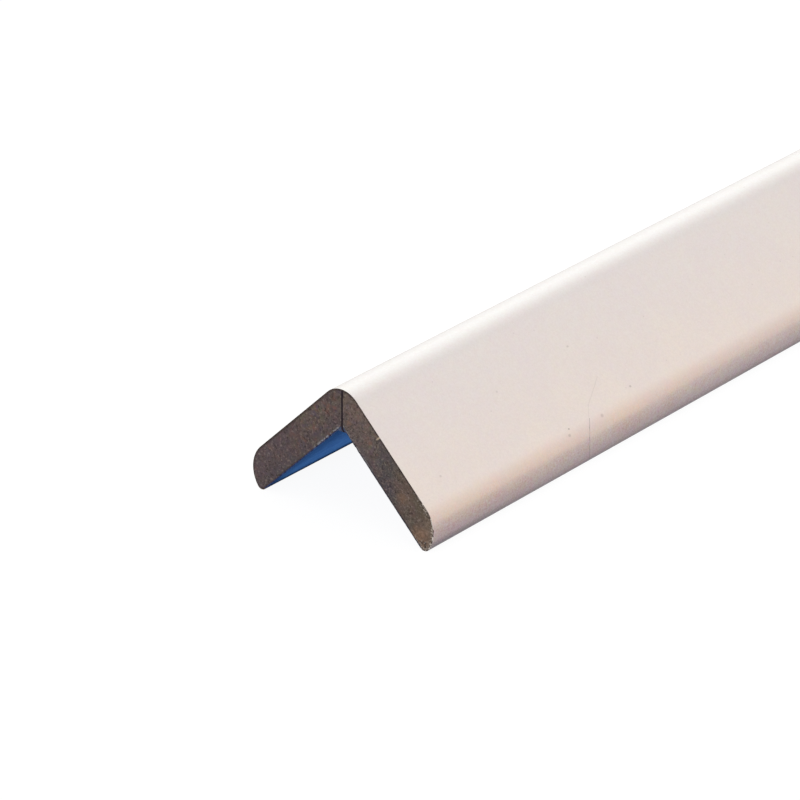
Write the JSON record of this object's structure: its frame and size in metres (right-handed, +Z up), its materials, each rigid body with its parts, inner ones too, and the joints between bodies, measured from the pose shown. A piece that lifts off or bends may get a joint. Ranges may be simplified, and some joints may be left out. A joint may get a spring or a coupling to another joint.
{
  "type": "corner guard moulding",
  "caption": "Straight L-shaped corner moulding: two mitred fibreboard strips under a wrapped cream foil, with a rounded ridge and rounded free edges.",
  "frame": {"origin": "on the floor, under the ridge, halfway along the length", "axes": "+X along the length, +Y towards the left leg's free edge, +Z up to the ridge"},
  "size_m": [2.4, 0.0376, 0.0232],
  "materials": {
    "fibreboard": "sawn, matt",
    "foil": "satin",
    "backing": "matt",
    "glue": "matt"
  },
  "bodies": {
    "root": {"left_leg": "fibreboard", "right_leg": "fibreboard", "face_foil": "foil", "left_backing": "backing", "right_backing": "backing", "glue_line": "glue"}
  },
  "joints": []
}
